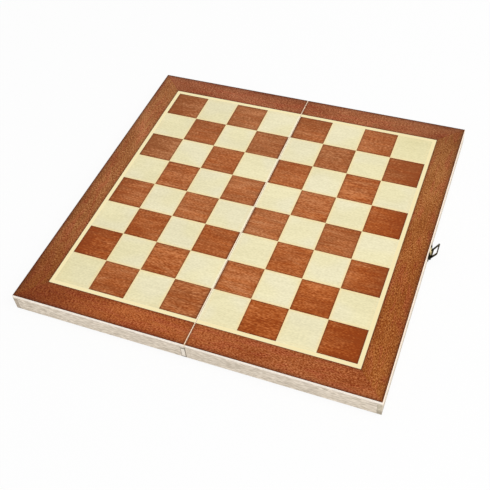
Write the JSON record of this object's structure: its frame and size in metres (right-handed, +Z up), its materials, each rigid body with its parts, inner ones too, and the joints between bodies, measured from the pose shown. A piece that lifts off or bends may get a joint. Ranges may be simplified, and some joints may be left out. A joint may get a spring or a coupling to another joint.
{
  "type": "folding chess and backgammon board",
  "caption": "Folding wooden game box with an inlaid chess field on its outside, trays for the men within, brass hinges and a swing latch.",
  "frame": {"origin": "middle of the fold, on the plane of the rims that the open board stands on", "axes": "+X across the fold to the latch side, +Y along the fold to the back, +Z up out of the chess field"},
  "size_m": [0.3546, 0.34, 0.0195],
  "materials": {
    "mahogany": "red-brown veneer, satin lacquer",
    "dark_square_wood": "red-brown veneer, satin lacquer",
    "light_veneer": "pale cream veneer, satin lacquer",
    "bare_wood": "unstained pale wood, sanded",
    "brass": "thin polished brass sheet"
  },
  "bodies": {
    "left_half": {"left_panel": "bare_wood", "left_side_wall": "bare_wood", "left_fold_wall": "bare_wood", "left_front_wall": "bare_wood", "left_back_wall": "bare_wood", "left_border_front": "mahogany", "left_border_back": "mahogany", "left_border_side": "mahogany", "left_light_veneer": "light_veneer", "dark_square_a1": "dark_square_wood", "dark_square_c1": "dark_square_wood", "dark_square_e1": "dark_square_wood", "dark_square_g1": "dark_square_wood", "dark_square_b2": "dark_square_wood", "dark_square_d2": "dark_square_wood", "dark_square_f2": "dark_square_wood", "dark_square_h2": "dark_square_wood", "dark_square_a3": "dark_square_wood", "dark_square_c3": "dark_square_wood", "dark_square_e3": "dark_square_wood", "dark_square_g3": "dark_square_wood", "dark_square_b4": "dark_square_wood", "dark_square_d4": "dark_square_wood", "dark_square_f4": "dark_square_wood", "dark_square_h4": "dark_square_wood", "front_hinge_left_leaf": "brass", "back_hinge_left_leaf": "brass", "front_hinge_pin": "brass", "back_hinge_pin": "brass", "catch_plate": "brass"},
    "right_half": {"right_panel": "bare_wood", "right_side_wall": "bare_wood", "right_fold_wall": "bare_wood", "right_front_wall": "bare_wood", "right_back_wall": "bare_wood", "right_border_front": "mahogany", "right_border_back": "mahogany", "right_border_side": "mahogany", "right_light_veneer": "light_veneer", "dark_square_a5": "dark_square_wood", "dark_square_c5": "dark_square_wood", "dark_square_e5": "dark_square_wood", "dark_square_g5": "dark_square_wood", "dark_square_b6": "dark_square_wood", "dark_square_d6": "dark_square_wood", "dark_square_f6": "dark_square_wood", "dark_square_h6": "dark_square_wood", "dark_square_a7": "dark_square_wood", "dark_square_c7": "dark_square_wood", "dark_square_e7": "dark_square_wood", "dark_square_g7": "dark_square_wood", "dark_square_b8": "dark_square_wood", "dark_square_d8": "dark_square_wood", "dark_square_f8": "dark_square_wood", "dark_square_h8": "dark_square_wood", "front_hinge_right_leaf": "brass", "back_hinge_right_leaf": "brass", "latch_base_plate": "brass", "latch_pin": "brass"},
    "latch_tongue": {"latch_tongue": "brass"}
  },
  "joints": [
    {"name": "fold", "type": "hinge", "parent": "left_half", "child": "right_half", "pos_m": [0, 0, -0.00015], "axis": [0, 1, 0], "range_deg": [0, 180]},
    {"name": "latch", "type": "hinge", "parent": "right_half", "child": "latch_tongue", "pos_m": [0.173, 0.0033, 0.005], "axis": [0, 1, 0], "range_deg": [-25, 149]}
  ]
}
